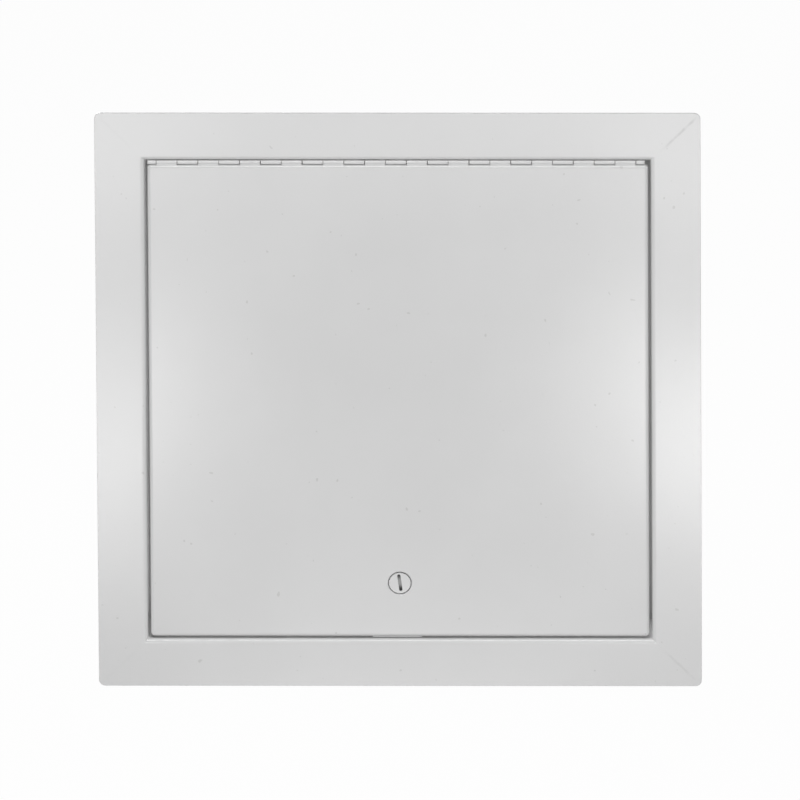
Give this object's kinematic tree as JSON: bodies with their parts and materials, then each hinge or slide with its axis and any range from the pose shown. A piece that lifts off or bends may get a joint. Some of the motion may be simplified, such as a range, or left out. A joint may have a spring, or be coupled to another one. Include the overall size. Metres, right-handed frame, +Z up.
{
  "type": "access panel",
  "caption": "Flush steel access panel: mitred flange frame, top-hinged door on a continuous hinge, screwdriver cam latch.",
  "frame": {"origin": "centre of the frame's square opening, on the wall's surface, which the back of the flange lies on", "axes": "+Y into the wall, +Z up towards the hinge, +X to the right of someone who faces the door"},
  "size_m": [0.369, 0.038, 0.369],
  "materials": {
    "powder_coat": "white semi-gloss powder coat with a light orange peel",
    "weld_metal": "primed weld bead",
    "zinc_plate": "bright zinc plate",
    "spring_steel": "oiled spring steel"
  },
  "bodies": {
    "frame": {"frame_top_rail": "powder_coat", "frame_bottom_rail": "powder_coat", "frame_left_stile": "powder_coat", "frame_right_stile": "powder_coat", "corner_weld_top_left": "weld_metal", "corner_weld_top_right": "weld_metal", "corner_weld_bottom_left": "weld_metal", "corner_weld_bottom_right": "weld_metal", "strike": "powder_coat", "hinge_frame_leaf": "powder_coat", "hinge_pin": "spring_steel"},
    "door": {"door_panel": "powder_coat", "hinge_door_leaf": "powder_coat"},
    "latch": {"latch_stud": "powder_coat", "latch_washer": "zinc_plate", "latch_spring": "spring_steel", "cam": "zinc_plate", "cam_lock_washer": "spring_steel", "cam_nut": "zinc_plate"}
  },
  "joints": [
    {"name": "door_hinge", "type": "hinge", "parent": "frame", "child": "door", "pos_m": [0, 0.0002, 0.15255], "axis": [-1, 0, 0], "range_deg": [0, 120]},
    {"name": "latch_turn", "type": "hinge", "parent": "door", "child": "latch", "pos_m": [0, 0, -0.118], "axis": [0, 1, 0], "range_deg": [0, 90]}
  ]
}
